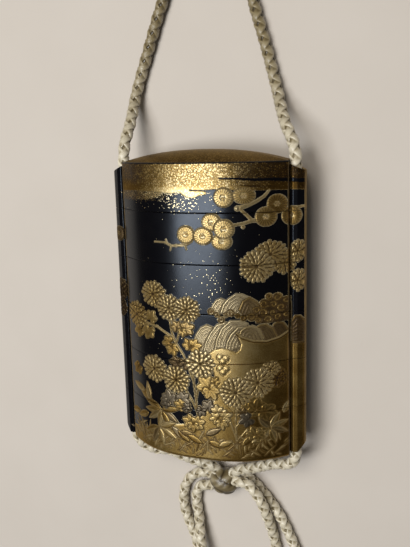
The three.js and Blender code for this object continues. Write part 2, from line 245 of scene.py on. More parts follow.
    def wave(self, crest, foot, tone=0.5, spacing=0.85):
        """A swell under its crest line, with fine lines that follow the crest."""
        crest = np.array(crest, float)
        at, x, y, inside = self.enclosed(np.concatenate([crest, np.array(foot, float)]))
        deep, _ = to_line(x, y, crest)
        phase = (deep / spacing) % 1.0
        fine = 0.95 * ((phase > 0.08) & (phase < 0.34) | (phase > 0.58) & (phase < 0.76)) * (deep > 0.3)
        crown = hill(deep / 0.35)
        height = 0.34 + 0.1 * np.sin(math.pi * phase) + 0.14 * crown
        tone = tone + 0.14 * crown + 0.17 * (foot[0][0] < 18)
        self.lay(at, inside, height, tone, mark=fine, edge=1.0, grey=0.45 - 0.45 * crown, ink=0.2)

    def curl(self, x, y, radius, tone=0.75):
        """A curl of foam: a thin line that winds in once round its middle."""
        at, dx, dy = self.near(x, y, radius + 0.5)
        r = np.hypot(dx, dy)
        wound = (np.arctan2(dy, dx) / (2 * math.pi) + 2.4 * x) % 1.0
        self.lay(at, radius * 1.1 - r, 0.3, 0.26, mark=0.6, edge=0.7, grey=0.3)
        self.lay(at, 0.17 - np.abs(r - radius * (0.3 + 0.65 * wound)), 0.64, tone, round_edge=0.2, edge=0.3)


def front(x, y):
    """The picture on the front, and on the front of the runners."""
    o = Ornament(x, y)
    # The gold cloud on the lid, with its dusted edge and dark slits.
    cloud = [(-25.4, 90), (-25.4, 76.7), (-18.4, 77.1), (-13.2, 77.1), (-8.8, 76.7), (-5.9, 76.5),
             (-3.5, 77.0), (-2.3, 76.0), (-0.8, 75.4), (0.7, 75.3), (2.3, 76.0), (4.2, 76.3),
             (4.4, 77.0), (2.7, 77.4), (6.4, 77.7), (12.3, 77.4), (20, 77.2), (30, 77.0), (30, 90)]
    o.area(cloud, 0.06, 0.7, soft=0.3, edge=0.2)
    lid = unit((o.gold - 0.3) * 2)
    # Painted shade: the cloud's gold is made darker and thinner towards both flanks, and its flakes fewer
    # there.
    side = unit((np.abs(o.x - 1.5) - 8) / 13)
    top = unit((o.y - 78) / 2.5)
    edge = hill((o.x + 5.5) / 9.5) * unit((78.6 - o.y) / 1.4)
    o.tone += lid * (0.2 * edge - 0.14 - 0.36 * side - 0.04 * top)
    o.gold *= 1 - lid * (0.42 + 0.12 * side * (0.4 + top) + 0.08 * top - 0.38 * edge)
    o.stroke([(-0.4, 77.45), (2.6, 77.35), (6.5, 77.55)], 0.35, 0.1, 0.02, 0.05, edge=0.1, gold=0)
    slit = [(8, 80.6), (12.4, 80.5), (16.9, 80.1), (22, 80.0), (29.4, 79.4)]
    o.stroke(slit, 0.3, 1.0, 0.03, 0.06, 0.2, gold=0)
    o.stroke([(13, 78.7), (17, 78.4), (22, 78.1), (29, 77.9)], 0.2, 1.4, 0.03, 0.2, 0.1, gold=0.45)
    below = unit((77.4 - o.y) / 0.6) * unit((o.y - 70.9) / 2.2)
    flakes = below * (hill((o.x + 1) / 8.5) + 0.3 * (o.x < -5)) * (o.x < 12)
    haze = 0.36 * np.exp(-(((o.x - 5) / 9) ** 2) - ((o.y - 51) / 7.5) ** 2)
    haze += 0.16 * np.exp(-(((o.x + 8) / 14) ** 2) - ((o.y - 30) / 7) ** 2)
    haze += 0.12 * np.exp(-((o.x + 6) / 12) ** 2 - ((o.y - 70) / 1.2) ** 2)
    brown = below * (np.abs(o.x) < 25.3) * unit((o.y - 73) / 3) * unit((4 - o.x) / 12)
    on_cloud = lid > 0.5
    below_cloud = np.maximum(0.85 * flakes + haze + 0.01, 0.5 * brown)
    o.dust = np.where(on_cloud, unit(o.gold * 5) * (1 - 0.35 * side), below_cloud)
    o.gold = np.where(on_cloud, o.gold, 0.25 * brown)
    o.tone = np.where(on_cloud, o.tone, 0.5 + 0.4 * unit((o.x + 16) / 8))
    # The gold ground along the base.
    ground = [(-25.4, -4), (-25.4, 2.4), (-24.6, 2.7), (-20.7, 3.8), (-15.9, 4.6), (-11, 6.4), (-7, 8.2),
              (-3, 8.8), (1, 11.6), (4.6, 15.2), (6.4, 20), (9.2, 24), (30, 24), (30, -4)]
    o.area(ground, 0.08, 0.47, soft=0.5, edge=0.1)
    # Painted shade: the ground's gold is darker towards the right.
    o.tone -= 0.2 * (o.gold > 0.5) * (o.y < 24) * unit((o.x - 6) / 16)
    # Waves behind the bank, from the furthest to the nearest, and the foam on them.
    o.wave([(18.2, 43.6), (19.4, 46.2), (21.6, 47.5), (24.4, 46.9), (25.6, 45)], [(25.6, 40), (18, 41)], 0.24)
    o.wave([(17, 42), (18.8, 44.8), (21.4, 45.2), (23.4, 43.4)], [(24, 40), (17, 40)], 0.22)
    for crest, foot, tone in (
        ([(4.6, 43.4), (5.2, 45.4), (6.4, 47.1), (7.8, 47.6), (9.2, 47.0)],
         [(10, 44), (7.4, 42.8), (5, 42.8)], 0.56),
        ([(7.4, 43.2), (8.4, 45.8), (9.6, 47.4), (11.8, 48.9), (13.5, 48.8), (15.4, 47.8), (17, 46.2)],
         [(17.6, 43.6), (14, 42.4), (9, 42.8)], 0.56),
        ([(12.6, 44.2), (13.6, 46.8), (15.5, 47.9), (17.5, 46.4), (18.6, 44.0)],
         [(18.4, 42.8), (14, 42.4)], 0.36),
        ([(21.2, 39.4), (22.4, 40.2), (23.9, 39.6), (25.2, 37.4)], [(25.4, 35), (21, 35)], 0.26),
        ([(16.6, 38.8), (18, 39.7), (19.7, 39.8), (21.6, 38.2), (22.8, 35)], [(22.8, 33.6), (16, 34)], 0.32),
        ([(-0.8, 34.2), (0.2, 36.8), (1.6, 38.8), (3.4, 39.8), (4.9, 39.3)],
         [(8, 38), (7, 31), (0.4, 31)], 0.54),
        ([(2.3, 31.8), (3.0, 34.6), (4.3, 37.2), (6.4, 40.0), (8.9, 40.8)],
         [(12, 39.5), (12, 32), (4, 30.6)], 0.56),
        ([(5.5, 32.0), (6.2, 35.6), (7.8, 39.0), (10.2, 41.2), (13.1, 41.2), (15, 40.2)],
         [(16, 34), (9, 31.4)], 0.54),
        ([(8.7, 32.6), (9.2, 35.2), (10.4, 37.4), (12.4, 39.4), (15, 39.4)],
         [(16.4, 37), (14, 33.6), (10, 32)], 0.5),
        ([(12.2, 36.0), (13.0, 38.4), (14.4, 39.4), (16.2, 39.6), (18.1, 38.6), (19.2, 35.8)],
         [(19, 34), (13, 34)], 0.54),
    ):
        o.wave(crest, foot, tone + 0.06)
    for cx, cy, r in (
        (4.9, 43.6, 0.95), (6.6, 42.7, 0.7), (7.7, 41.3, 0.9), (9.1, 42.7, 0.7), (10.5, 43.3, 0.95),
        (12.3, 42.5, 0.7), (13.9, 41.8, 0.8), (16.0, 42.0, 1.1), (17.3, 43.9, 1.0), (19.2, 45.6, 1.2),
        (20.3, 47.6, 0.8), (22.4, 47.2, 1.1), (24.5, 46.2, 0.9), (21.5, 45.2, 0.9), (23.4, 44.2, 1.1),
        (19.0, 43.0, 1.1), (21.3, 42.9, 0.8), (22.6, 41.7, 0.9), (24.5, 42.0, 0.8), (17.7, 41.0, 0.8),
        (20.2, 41.0, 1.0),
    ):
        o.curl(cx, cy, r, 0.92 if cx < 12 else 0.5)
    o.wave([(25.5, 39.4), (26.6, 41.3), (28.2, 41.2), (29.5, 39.6)], [(29.5, 33.4), (25.5, 33.4)], 0.22)
    # The smooth bank, painted darker towards the right as painted shade, with its rim and the hollow behind
    # the rim.
    bank = [(3.1, 30.2), (4.0, 31.3), (5.6, 32.5), (7.9, 33.1), (10.1, 32.5), (11.8, 31.9),
            (12.7, 32.7), (13.1, 34.2), (12.2, 36.9), (13.3, 35.9), (16.4, 34.9), (19.7, 34.5),
            (22.9, 35.2), (25.3, 37), (25.3, 13), (12, 12), (7.6, 17), (6.1, 21.6), (5.2, 25.6)]
    at = np.flatnonzero(within(o.x, o.y, np.array(bank, float)))
    o.area(bank, 0.34, 0.46, edge=0.5)
    # Painted shade: the bank's tone falls towards the right. It also rises towards the bank's top.
    o.tone[at] = 0.5 + 0.12 * unit((o.y[at] - 14) / 19) - 0.22 * unit((o.x[at] - 14) / 10)
    rim = [(12.1, 37.5), (13.3, 36.3), (16.4, 35.1), (19.7, 34.7), (22.9, 35.5), (25.3, 37.1)]
    # Painted shadow: a dark stroke just under the rim, a little lower than the bank.
    o.stroke([(a, b - 0.35) for a, b in rim], 0.5, 0.5, 0.3, 0.1, edge=0.3, gold=0.6)
    o.stroke(rim, 0.6, 0.6, 0.56, 0.72, edge=1.0)
    # Stems.
    for line in (
        [(-12.7, 37.9), (-7.2, 35.1), (-4.0, 30.3), (-2.1, 25.3), (-1.0, 22.3), (-0.2, 14.7), (0, 11)],
        [(-8.2, 42), (-7.4, 36.5), (-6.6, 34.6)], [(-1.2, 26), (-0.9, 22), (-0.5, 17.5)],
        [(-3.4, 19.2), (-1.6, 16.4), (-0.4, 13.6)], [(1.2, 23.4), (0.2, 19.6), (-0.4, 16.6)],
        [(-2.6, 41), (-4.8, 37.4), (-6, 33.6)], [(-18, 38.6), (-12.4, 37.6)],
        [(11.7, 16.3), (11.2, 10.7), (11.5, 2.6)], [(14.4, 8.4), (11.6, 5)],
        [(17, 15), (13.4, 12), (11.4, 9.4)], [(8.6, 14), (10.2, 9.4), (11.4, 5.4)],
    ):
        o.stroke(line, 0.6, 0.5, 0.36, 0.66, edge=0.9)
    # Grasses over the ground.
    for k in range(150):
        gx = -23.5 + 47.5 * ((k * 0.618034) % 1)
        gy = -0.8 + 5.4 * ((k * 0.754878) % 1)
        lean = 90 + 66 * math.sin(k * 2.7)
        o.blade(gx, gy, 3.2 + 1.4 * math.sin(k * 1.3), 0.5, lean, 0.5 + 0.14 * math.sin(k), 0.22)
    # Bamboo leaves.
    for bx, by, length, deg, grey in (
        (-16.6, 13.8, 7.0, 140, 0), (-16.4, 13.6, 6.2, 100, 0.3), (-12.2, 12.2, 6.6, 162, 0),
        (-12.2, 11.6, 6.4, 185, 0), (-12.2, 11.6, 6.2, 215, 0.3), (-12, 11.8, 6.2, 258, 0),
        (-11.8, 12, 6.6, 330, 0.6), (-11.8, 11.8, 6.6, 300, 0), (-12, 12.2, 6.8, 10, 0),
        (-21.4, 9, 4.6, 196, 0), (-18.6, 16.4, 5.2, 165, 0.3), (-17.4, 9.6, 5.4, 205, 0),
        (-13.4, 6.2, 6.4, 205, 0), (-13.2, 6.2, 6.2, 245, 0.4), (-13, 6.2, 6, 285, 0),
        (-12.6, 6.4, 6.6, 335, 0), (-12.8, 6.6, 6.2, 20, 0), (-8.6, 7.6, 6.2, 318, 0.6),
        (-6.6, 6.6, 5.4, 320, 0), (-5.8, 6.4, 5.2, 350, 0.3),
        (-3.4, 5.6, 5.6, 335, 0), (2.2, 6.2, 5.6, 26, 0.6), (3.2, 4.4, 5, 340, 0), (6.2, 3.2, 4.6, 20, 0),
        (20.5, 8.3, 5.2, 62, 0), (20.5, 8.3, 5, 20, 0), (20.5, 8.3, 5, 335, 0.3), (20.3, 8.1, 5.4, 190, 0),
        (20.3, 8.1, 5, 232, 0), (20.5, 8, 4.8, 288, 0), (20.4, 8.4, 4.8, 130, 0.4), (23.8, 12.2, 4.4, 66, 0),
        (15.4, 4.2, 4.6, 24, 0), (13, 3.4, 4.8, 48, 0),
    ):
        o.blade(bx, by, length, 2.0, deg, 0.5 + 0.1 * math.sin(bx + deg), grey=grey)
    # Leaves of the chrysanthemums.
    for lx, ly, size, deg, tone, grey in (
        (-14.3, 40.6, 2.0, 60, 0.62, 0), (-16.0, 35.4, 2.3, 250, 0.6, 0), (-20.3, 35.2, 2.0, 200, 0.58, 0),
        (-6.0, 38.8, 1.7, 120, 0.56, 0.3), (-2.1, 38.4, 2.1, 20, 0.58, 0.3), (-4.0, 36.8, 1.4, 280, 0.64, 0),
        (-8.9, 33.3, 2.0, 190, 0.56, 0), (-7.2, 31.2, 1.9, 290, 0.58, 0), (-2.3, 33.7, 1.8, 120, 0.6, 0),
        (0.2, 33.2, 2.0, 10, 0.6, 0), (-6.8, 27.6, 1.9, 170, 0.36, 0.6), (-3.6, 27.6, 1.7, 60, 0.36, 0.6),
        (2.6, 22.0, 2.9, 130, 0.62, 0), (4.6, 19.4, 2.5, 300, 0.62, 0), (5.8, 23.2, 1.4, 60, 0.6, 0),
        (-9.2, 16.6, 2.4, 100, 0.62, 1), (-10.8, 14.4, 1.7, 210, 0.56, 1), (-4.2, 17.0, 2.2, 40, 0.62, 1),
        (-5.8, 14.7, 1.9, 160, 0.62, 0), (-3.2, 14.0, 1.5, 340, 0.58, 1), (3.6, 15.4, 2.1, 70, 0.6, 1),
        (1.0, 13.2, 1.6, 250, 0.58, 1), (6.0, 14.4, 1.8, 100, 0.74, 0), (8.6, 12.6, 2.0, 20, 0.74, 0),
        (5.2, 11.6, 1.8, 190, 0.7, 0), (7.4, 9.8, 1.8, 280, 0.7, 0), (-3.0, 10.0, 2.1, 160, 0.64, 0),
        (0.4, 9.8, 2.1, 20, 0.64, 0), (-1.4, 8.2, 1.8, 270, 0.62, 0), (13.0, 13.8, 1.6, 140, 0.5, 0.4),
        (17.0, 15.6, 2.4, 80, 0.5, 0), (20.1, 13.2, 2.4, 340, 0.52, 0), (13.9, 11.3, 2.1, 200, 0.5, 1),
        (16.2, 7.4, 2.1, 110, 0.58, 0), (17.8, 6.2, 1.6, 330, 0.56, 0), (-21.6, 22.6, 1.9, 230, 0.48, 0),
    ):
        o.lobed(lx, ly, size, deg, tone, grey)
    for bx, by in ((7.2, 30.2), (9.0, 29.9), (8.1, 29.0), (7.2, 26.9), (9.0, 26.7), (8.1, 25.8)):
        o.dot(bx, by, 1.05, 0.44, 0.64, 0.3)
    # Chrysanthemum heads, from the furthest to the nearest.
    for fx, fy, rx, ry, count, tone in (
        (24.2, 57.2, 3.0, 3.6, 16, 0.5), (27.5, 60.0, 2.2, 3.2, 13, 0.56), (27.5, 51.6, 2.3, 3.3, 13, 0.56),
        (20.9, 59.5, 4.2, 3.9, 20, 0.5), (17.4, 56.3, 4.5, 4.6, 22, 0.6),
        (-13.4, 47.4, 4.5, 3.9, 19, 0.54), (-20.6, 40.0, 4.3, 4.0, 18, 0.46), (-8.0, 43.9, 4.3, 3.9, 19, 0.6),
        (-2.4, 43.7, 4.0, 3.9, 19, 0.64), (22.3, 23.4, 2.6, 2.9, 14, 0.2), (20.7, 26.3, 2.4, 2.4, 14, 0.56),
        (-14.1, 24.6, 4.6, 4.2, 19, 0.58), (-6.5, 22.4, 4.4, 4.3, 19, 0.6), (1.3, 27.9, 4.4, 4.3, 18, 0.7),
        (17.4, 22.5, 4.2, 4.5, 20, 0.6), (11.4, 19.8, 4.5, 4.6, 20, 0.64),
    ):
        o.flower(fx, fy, rx, ry, count, tone)
    # The pine: branches, then the discs of needles with their dotted middles.
    o.stroke([(12.6, 72.4), (15.2, 73.2), (17.5, 74.3), (19.4, 75.6), (20.6, 77.2)], 1.1, 0.5, 0.5, 0.74)
    o.stroke([(13.4, 72.2), (14.9, 70.8), (16.2, 69.3)], 0.5, 0.7, 0.42, 0.66)
    o.stroke([(11.4, 67.9), (14.4, 68.4), (16.2, 69.0), (18, 69.2)], 0.6, 1.0, 0.5, 0.72)
    o.dot(14.1, 67.4, 0.45, 0.5, 0.6)
    o.dot(12.7, 72.5, 0.72, 0.58, 0.84)
    o.stroke([(-12, 62.8), (-8.5, 62.8), (-6.5, 61.9), (-2.2, 62.3), (-0.4, 63.4)], 0.4, 0.7, 0.42, 0.8)
    for line in ([(-7.8, 62.5), (-8.2, 63.6)], [(-6.5, 61.9), (-6.9, 60.6)], [(-2.2, 62.3), (-1.9, 61.0)]):
        o.stroke(line, 0.5, 0.3, 0.4, 0.78)
    o.stroke([(25.6, 72.1), (27.2, 72.2), (29.0, 72.4)], 0.7, 0.5, 0.45, 0.6)
    for px, py, rx, ry, tone in (
        (26.0, 69.9, 2.5, 2.6, 0.56), (22.5, 73.4, 2.4, 2.6, 0.5), (19.8, 70.0, 2.6, 2.7, 0.58),
        (14.4, 75.9, 2.9, 2.2, 0.66), (9.1, 75.5, 2.7, 2.7, 0.74), (5.6, 68.8, 2.7, 2.4, 0.76),
        (-1.9, 65.2, 2.6, 2.5, 0.72), (8.4, 63.4, 2.8, 2.2, 0.72), (9.1, 66.9, 2.8, 2.7, 0.74),
        (3.1, 64.9, 2.8, 2.4, 0.72),
    ):
        o.pine(px, py, rx, ry, tone)
    # The runners: gold below the bank's level, and small motifs on the left one, painted nearly black as
    # painted shade.
    low = (o.x > 25.3) & (o.y < 33.3)
    o.gold[low], o.tone[low], o.height[low], o.line[low] = 1.0, 0.37, 0.06, 0.0
    o.line[low & (o.y > 32.9)] = 0.9
    # Painted shade: the left runner's motifs get very dark tones.
    o.pine(-27.9, 63.6, 2.3, 2.2, 0.3)
    o.flower(-28.0, 46.2, 2.4, 3.6, 15, 0.06)
    o.flower(-28.4, 40.4, 2.2, 2.8, 14, 0.02)
    o.grey = np.where(o.x < -25.45, 0.6, o.grey)
    return o


def back(x, y):
    """The picture goes on over the back: the cloud, a pine, flowers and the ground."""
    o = Ornament(x, y)
    cloud = [(-30, 90), (-30, 77), (-20, 76.4), (-12, 77.6), (-4, 76.8), (3, 78.4), (10, 78),
             (19, 76.6), (30, 77.2), (30, 90)]
    o.area(cloud, 0.05, 0.6, gold=0.7, soft=0.4, edge=0.1)
    band = hill((o.x - 5) / 14) * unit((78 - o.y) / 1.5) * unit((o.y - 69) / 4)
    o.dust = np.where(o.gold > 0.4, 1.0, 0.6 * band + 0.03)
    ground = [(-30, -4), (-30, 5), (-20, 7), (-8, 5.4), (2, 8.4), (12, 6), (30, 3.4), (30, -4)]
    o.area(ground, 0.06, 0.4, soft=0.5, edge=0.1)
    o.stroke([(-22, 56), (-15, 58.4), (-9, 57), (-3, 60.4)], 1.0, 0.5, 0.2, 0.6)
    for px, py in ((-14, 61.2), (-9.4, 59.6), (-4.2, 62.4), (-16.8, 56.2), (0.2, 60)):
        o.pine(px, py, 2.6, 2.4, 0.62)
    o.stroke([(11.6, 20), (10.4, 12), (9.6, 4)], 0.6, 0.6, 0.3, 0.6)
    for fx, fy, r in ((12, 22, 4.2), (18, 17, 3.8), (6, 16.4, 3.8)):
        o.flower(fx, fy, r, r, 20, 0.54)
    for k in range(26):
        gx = -23 + 46 * ((k * 0.618034) % 1)
        o.blade(gx, 1 + 4 * ((k * 0.754878) % 1), 4.4, 1.2, 90 + 60 * math.sin(k * 2.7), 0.48, 0.14)
    o.height *= 0.3
    return o


# ---- meshes ----


def mesh_object(name, points, faces):
    mesh = bpy.data.meshes.new(name)
    mesh.from_pydata(row(points).tolist(), [], [tuple(int(i) for i in f) for f in faces])
    mesh.update()
    made = bpy.data.objects.new(name, mesh)
    bpy.context.scene.collection.objects.link(made)
    return made


def loft(name, rings, middle_x=0.0):
    """A closed mesh through rings of equal counts, each star-shaped about (middle_x, 0)."""
    rings = [np.asarray(r, float) for r in rings]
    n, k = len(rings[0]), len(rings)
    middles = [[middle_x, ring[:, 1].mean(), 0] for ring in (rings[0], rings[-1])]
    points = np.concatenate([*rings, middles])
    i, j = np.arange(n), (np.arange(n) + 1) % n
    faces = []
    for r in range(k - 1):
        faces += np.stack([r * n + i, r * n + j, (r + 1) * n + j, (r + 1) * n + i], 1).tolist()
    faces += [[n * k, b, a] for a, b in zip(i, j)]
    faces += [[n * k + 1, (k - 1) * n + a, (k - 1) * n + b] for a, b in zip(i, j)]
    p, f = points, np.array([[*q[:3]] for q in faces] + [[q[0], q[2], q[3]] for q in faces if len(q) == 4])
    if (p[f[:, 0]] * np.cross(p[f[:, 1]], p[f[:, 2]])).sum() < 0:
        faces = [q[::-1] for q in faces]
    return mesh_object(name, points, faces)


def body_outline(out=0.0):
    """x and z round the body's section, closely spaced along the front."""
    count = int(2 * HALF_WIDTH / STEP)
    x = np.linspace(HALF_WIDTH, -HALF_WIDTH, count)
    sx, sz = (HALF_WIDTH + out) / HALF_WIDTH, (CREST + out) / CREST
    face = np.stack([x, face_height(x)], 1)
    upper = [[-HALF_WIDTH, 3.3], [-25.05, 2.6], [-24.9, 1.9]]
    side = [*upper, *([a, -b] for a, b in reversed(upper))]
    xb = np.linspace(-HALF_WIDTH, HALF_WIDTH, count // 3)
    rear = np.stack([xb, np.maximum(-face_height(xb), BACK_FLAT)], 1)
    other = [[-a, b] for a, b in reversed(side)]
    return np.concatenate([face, side, rear, other]) * [sx, sz], count, count + len(side), len(xb)


def ring_at(outline, y):
    return np.stack([outline[:, 0], np.broadcast_to(y, len(outline)), outline[:, 1]], 1)


def ear_outline(side):
    profile = np.array(
        [[24.0, 2.2], [25.5, 2.3], [26.1, 2.9], [27.4, 2.6], [28.6, 1.75], [29.15, 1.2], [EAR_EDGE, 0.7]]
    )
    t = np.concatenate([[0], np.cumsum(np.hypot(*np.diff(profile, axis=0).T))])
    at = np.linspace(0, t[-1], int(t[-1] / STEP))
    upper = np.stack([np.interp(at, t, profile[:, 0]), np.interp(at, t, profile[:, 1])], 1)
    ring = np.concatenate([upper, (upper * [1, -1])[::-1]])
    return ring * [side, 1], len(upper)


def levels(low, high):
    return np.linspace(low, high, max(3, int((high - low) / STEP)))


def raised(ring, front_count, back_from, back_count, where):
    """Moves a ring's front and back out by the relief there."""
    ring = ring.copy()
    ring[:front_count, 2] += where["front"]
    if back_count:
        part = slice(back_from, back_from + back_count)
        lift = where["back"] * (ring[part, 2] > BACK_FLAT + 0.02)
        ring[part, 2] = np.maximum(ring[part, 2] - lift, BACK_FLAT)
    return ring


def body_mesh(name, number, low, high):
    outline, nf, bf, nb = body_outline()
    ys = levels(low + 0.08, high - 0.08 if number else high)
    xf, xb = outline[:nf, 0], outline[bf : bf + nb, 0]
    hf = front(np.tile(xf, len(ys)), np.repeat(ys, nf)).height.reshape(len(ys), nf)
    hb = back(np.tile(xb, len(ys)), np.repeat(ys, nb)).height.reshape(len(ys), nb)
    edge = unit((HALF_WIDTH - np.abs(xf)) / 0.4)
    rings = [
        raised(ring_at(outline, y), nf, bf, nb, {"front": hf[k] * edge, "back": hb[k]})
        for k, y in enumerate(ys)
    ]
    tight = body_outline(-0.07)[0]
    if number == len(SEAMS):
        dome = ((0.02, DOME_BOTTOM), (0.2, -2.88), (0.35, -2.84), (0.55, -2.74), (0.7, -2.6), (0.85, -2.36))
        turn_in = ((1.0, -2.1), (0.55, -1.95), (0.28, -1.72), (0.1, -1.42))
        first = [ring_at(outline * share, y) for share, y in dome]
        first += [ring_at(body_outline(-inset)[0], y) for inset, y in turn_in]
    else:
        first = [ring_at(tight, low), ring_at(body_outline(-0.02)[0], low + 0.04)]
    if number == 0:
        shares = [0.995, 0.985, 0.97, 0.94, 0.9, 0.84, 0.77, 0.7, 0.6, 0.5, 0.4, 0.3, 0.2, 0.1, 0.02]
        last = [ring_at(outline * s, RIM + (DOME_TOP - RIM) * (1 - s**2.3)) for s in shares]
        rings[-1] = ring_at(outline, high)
    else:
        last = [ring_at(body_outline(-0.02)[0], high - 0.04), ring_at(tight, high)]
    return loft(name, [*first, *rings, *last])


def ear_mesh(name, side, low, high):
    outline, n = ear_outline(side)
    ys = levels(low, high)
    x = outline[:n, 0]
    h = front(np.tile(x, len(ys)), np.repeat(ys, n)).height.reshape(len(ys), n)
    fade = unit((EAR_EDGE - np.abs(x)) / 0.6) * unit((np.abs(x) - 25.5) / 0.3)
    rings = []
    for k, y in enumerate(ys):
        ring = ring_at(outline, y)
        if low < 0:
            foot = low + np.clip(np.abs(ring[:, 0]) - 27.4, 0, 9) * 1.3
            ring[:, 1] = np.maximum(ring[:, 1], foot + 0.02 * k)
        if high > 80:
            top = high - np.clip(np.abs(ring[:, 0]) - 25.5, 0, 9) * 0.45
            ring[:, 1] = np.minimum(ring[:, 1], top - 0.02 * (len(ys) - 1 - k))
        ring[:n, 2] += h[k] * fade
        rings.append(ring)
    return loft(name, rings, side * 26.5)


def inner_block(name, a, b, low, high, steps=96):
    turn = 2 * np.pi * (np.arange(steps) + 0.5) / steps
    c, s = np.cos(turn), np.sin(turn)
    outline = np.stack([a * np.sign(c) * np.abs(c) ** 0.83, b * s], 1)
    return loft(name, [ring_at(outline, low), ring_at(outline, high)])


def channel(side):
    turn = 2 * np.pi * np.arange(40) / 40
    outline = np.stack([side * CHANNEL_X + CHANNEL_RADIUS * np.cos(turn), CHANNEL_RADIUS * np.sin(turn)], 1)
    return loft("channel", [ring_at(outline, -12), ring_at(outline, 102)], side * CHANNEL_X)


def combine(base, steps):
    """Joins and cuts closed meshes; steps are (operation, object)."""
    for operation, other in steps:
        mod = base.modifiers.new("join", "BOOLEAN")
        mod.operation, mod.object, mod.solver = operation, other, "MANIFOLD"
    bpy.context.view_layer.update()
    mesh = bpy.data.meshes.new_from_object(base.evaluated_get(bpy.context.evaluated_depsgraph_get()))
    base.modifiers.clear()
    base.data = mesh
    for _, other in steps:
        bpy.data.objects.remove(other)
    return base


def store(mesh, name, kind, slot, values):
    """Stores values on the mesh's points, for its material."""
    layer = mesh.attributes.new(name, kind, "POINT")
    layer.data.foreach_set(slot, values.astype(np.float32).ravel())


def paint(obj):
    """Stores the ornament's gold, tone, dust, engraved lines with painted shadows at the forms' edges, and
    grey on the mesh's points.
    """
    mesh = obj.data
    p = np.zeros(len(mesh.vertices) * 3, np.float32)
    mesh.vertices.foreach_get("co", p)
    x, y, z = (p.reshape(-1, 3).astype(float) * 1000 - [0, ORIGIN_Y, ORIGIN_Z]).T
    gold, tone, dust, line, grey = (np.zeros(len(x)) for _ in range(5))
    outer = (np.abs(z) > face_height(x) - 0.25) | (np.abs(x) > BODY_EDGE)
    for side, picture in ((outer & (z > 0), front), (outer & (z <= 0), back)):
        o = picture(x[side], y[side])
        gold[side], tone[side], dust[side], line[side], grey[side] = o.gold, o.tone, o.dust, o.line, o.grey
    dome = (y > RIM + 0.12) & ~(np.abs(x) > BODY_EDGE)
    under = y < -1.75
    inside = ~outer & ~dome & ~under
    for part, g, t, d in ((dome, 1.0, 0.13, 1.0), (under, 0.75, 0.36, 1.0), (inside, 0.12, 0.5, 0.25)):
        gold[part], tone[part], dust[part], line[part], grey[part] = g, t, d, 0, 0.3
    # A pale line along the flank edges and the runners' outer edges: partly worn gold, partly a painted
    # highlight, lighter on the left than on the right.
    edge = (np.abs(np.abs(x) - 25.13) < 0.12) & (np.abs(z) > 2.9) | (np.abs(x) > 29.15)
    edge &= (y < RIM) & (y > BASE)
    gold[edge], tone[edge], line[edge], grey[edge] = 0.8, np.where(x[edge] < 0, 0.7, 0.34), 0, 0.8
    rim = (np.abs(y - RIM) < 0.2) & (np.abs(x) < 25.3)
    line[rim], gold[rim] = 1.0, 0.0
    worn = (np.hypot(x + 24, (y - 85.5) * 1.6) < 1.1) & (z > 0)
    gold[worn], tone[worn], line[worn] = 1.0, 0.05, 0.3
    store(mesh, "ornament", "FLOAT_COLOR", "color", np.stack([gold, unit(tone), unit(dust), line], 1))
    store(mesh, "grey", "FLOAT", "value", grey)
    mesh.polygons.foreach_set("use_smooth", [True] * len(mesh.polygons))
    mesh.set_sharp_from_angle(angle=math.radians(52))


def tier(number):
    name = f"case_{number}" if number else "lid"
    is_lid, is_base = number == 0, number == len(SEAMS)
    low = BASE if is_base else SEAMS[number] + HALF_GAP
    high = RIM if is_lid else SEAMS[number - 1] - HALF_GAP
    made = body_mesh(f"{name}_dressed", number, low, high)
    ends = (EAR_FOOT if is_base else low, EAR_TOP if is_lid else high)
    steps = [("UNION", ear_mesh("ear", 1, *ends)), ("UNION", ear_mesh("ear", -1, *ends))]
    if not is_lid:
        steps.append(("UNION", inner_block("riser", *RISER_OVAL, high - 1, high + RISER)))
    if not is_base:
        steps.append(("DIFFERENCE", inner_block("recess", *RECESS_OVAL, low - 1, low + RECESS)))
    floor = CAVITY_FOOT if is_base else low + RECESS + FLOOR
    cavity = (low, CAVITY_TOP) if is_lid else (floor, high + RISER + 1)
    steps.append(("DIFFERENCE", inner_block("cavity", *CAVITY_OVAL, *cavity)))
    steps += [("DIFFERENCE", channel(1)), ("DIFFERENCE", channel(-1))]
    made = combine(made, steps)
    paint(made)
    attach(made, "root")
    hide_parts(name)
    return made


# ---- cord ----

FLAT = -10.9
RIGHT_RUN = [
    (5.8, -14.8, -7.4), (9, -13.5, -6.8), (12.6, -12, -5.8), (16, -10.2, -4.6), (19.4, -8.6, -3.2),
    (22.8, -7.7, -2), (25.4, -5.7, -0.8), (26.3, -2.4, 0), (26.3, 4, 0), (26.3, 78, 0), (26.3, 86.2, 0),
    (25.1, 90.4, -1.2), (22.6, 94.8, -4), (20.6, 99.2, -7.2), (18.9, 104, -9.9), (17.4, 109, FLAT),
    (15.2, 117.3, FLAT), (12.6, 126, FLAT),
]
LEFT_RUN = [
    (-4.2, -14.6, -8), (-8.4, -13.2, -7), (-12.4, -11.5, -5.8), (-17, -9.2, -4.4), (-21.2, -8.6, -3),
    (-24.8, -6.3, -1.2), (-26.3, -2.8, -0.1), (-26.3, 3, 0), (-26.3, 78, 0), (-26.3, 86.2, 0),
    (-26.2, 90.6, -1.2), (-26, 94.8, -4), (-26.2, 99.2, -7.2), (-26.2, 104, -9.9), (-24.8, 109.6, FLAT),
    (-22.4, 116, FLAT), (-16.6, 131, FLAT),
]
TOP_LOOP = [
    (-12.8, 138.6, FLAT), (-6.6, 143.6, FLAT), (0.6, 144, FLAT), (7.2, 139.8, FLAT), (10.6, 133, FLAT),
]
